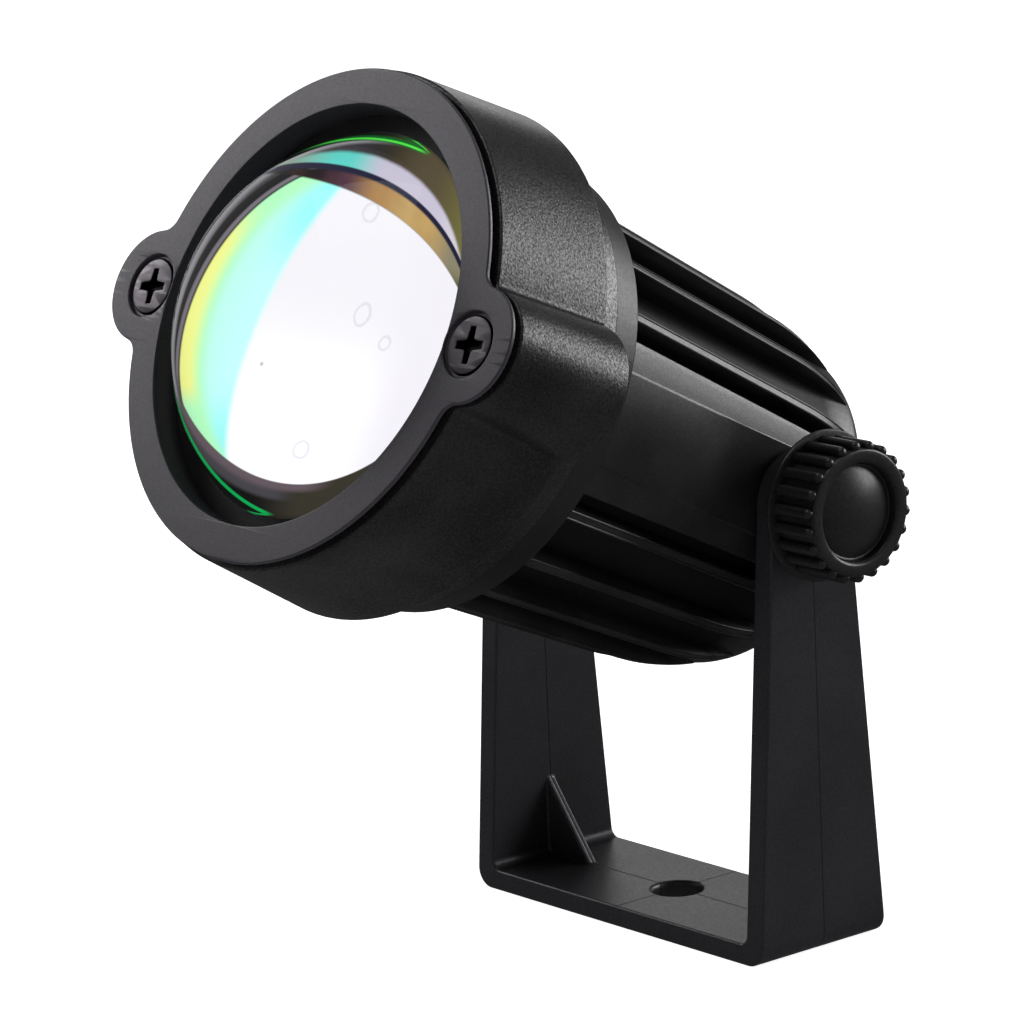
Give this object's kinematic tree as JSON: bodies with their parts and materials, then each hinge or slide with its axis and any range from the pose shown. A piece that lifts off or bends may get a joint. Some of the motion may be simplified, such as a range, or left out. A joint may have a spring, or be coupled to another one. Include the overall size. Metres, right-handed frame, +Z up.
{
  "type": "sunset projection lamp",
  "caption": "Small projection spotlight: a ribbed head with a domed lens and colour filter tilts between the arms of a U-shaped bracket and is clamped by thumb knobs.",
  "frame": {"origin": "centre of the fixing hole on the underside of the bracket's base", "axes": "+Z up, +X to the lamp's left knob seen from behind (the viewer's right from the front), light leaves towards -Y"},
  "size_m": [0.0782, 0.092, 0.1138],
  "materials": {
    "bracket_plastic": "satin",
    "barrel_plastic": "satin",
    "shell_plastic": "matte",
    "bezel_plastic": "satin",
    "knob_plastic": "satin",
    "black_rubber": "matte",
    "clear_lens": "polished",
    "filter_glass": "polished",
    "carrier_plastic": "matte",
    "reflector_white": "satin",
    "screw_steel": "satin",
    "bright_steel": "satin",
    "insert_brass": "satin",
    "sink_aluminium": "satin",
    "board_white": "matte",
    "led_yellow": "matte",
    "board_green": "satin",
    "component_black": "matte",
    "wire_red": "satin"
  },
  "bodies": {
    "bracket": {"bracket": "bracket_plastic"},
    "head": {"barrel": "barrel_plastic", "front_shell": "shell_plastic", "shell_seal": "black_rubber", "bezel": "bezel_plastic", "bezel_screws": "screw_steel", "lens": "clear_lens", "lens_gasket": "black_rubber", "colour_filter": "filter_glass", "optic_carrier": "carrier_plastic", "reflector": "reflector_white", "led_board": "board_white", "led_chip": "led_yellow", "led_board_screws": "bright_steel", "heat_sink": "sink_aluminium", "heat_sink_screws": "bright_steel", "driver_board": "board_green", "driver_parts": "component_black", "driver_screws": "bright_steel", "lead_wires": "wire_red", "cord_grommet": "black_rubber", "thread_insert_left": "insert_brass", "thread_insert_right": "insert_brass", "friction_washer_left": "black_rubber", "friction_washer_right": "black_rubber"},
    "washer_left": {"knob_washer_left": "bright_steel"},
    "washer_right": {"knob_washer_right": "bright_steel"},
    "knob_left": {"knob_left": "knob_plastic", "knob_cap_left": "knob_plastic", "knob_stud_left": "bright_steel"},
    "knob_right": {"knob_right": "knob_plastic", "knob_cap_right": "knob_plastic", "knob_stud_right": "bright_steel"}
  },
  "joints": [
    {"name": "head_tilt", "type": "hinge", "parent": "bracket", "child": "head", "pos_m": [0, 0, 0.0574], "axis": [-1, 0, 0], "range_deg": [-52.5, 177.5]},
    {"name": "washer_left_slide", "type": "slide", "parent": "head", "child": "washer_left", "axis": [-1, 0, 0], "range_m": [0, 0.0016]},
    {"name": "knob_left_turn", "type": "hinge", "parent": "washer_left", "child": "knob_left", "pos_m": [-0.0275, 0, 0.0574], "axis": [-1, 0, 0], "range_deg": [0, 720]},
    {"name": "washer_right_slide", "type": "slide", "parent": "head", "child": "washer_right", "axis": [1, 0, 0], "range_m": [0, 0.0016]},
    {"name": "knob_right_turn", "type": "hinge", "parent": "washer_right", "child": "knob_right", "pos_m": [0.0275, 0, 0.0574], "axis": [1, 0, 0], "range_deg": [0, 720]}
  ],
  "couplings": [
    {"joint": "washer_left_slide", "follows": "knob_left_turn", "m_per_rad": 0.00012732},
    {"joint": "washer_right_slide", "follows": "knob_right_turn", "m_per_rad": 0.00012732}
  ]
}
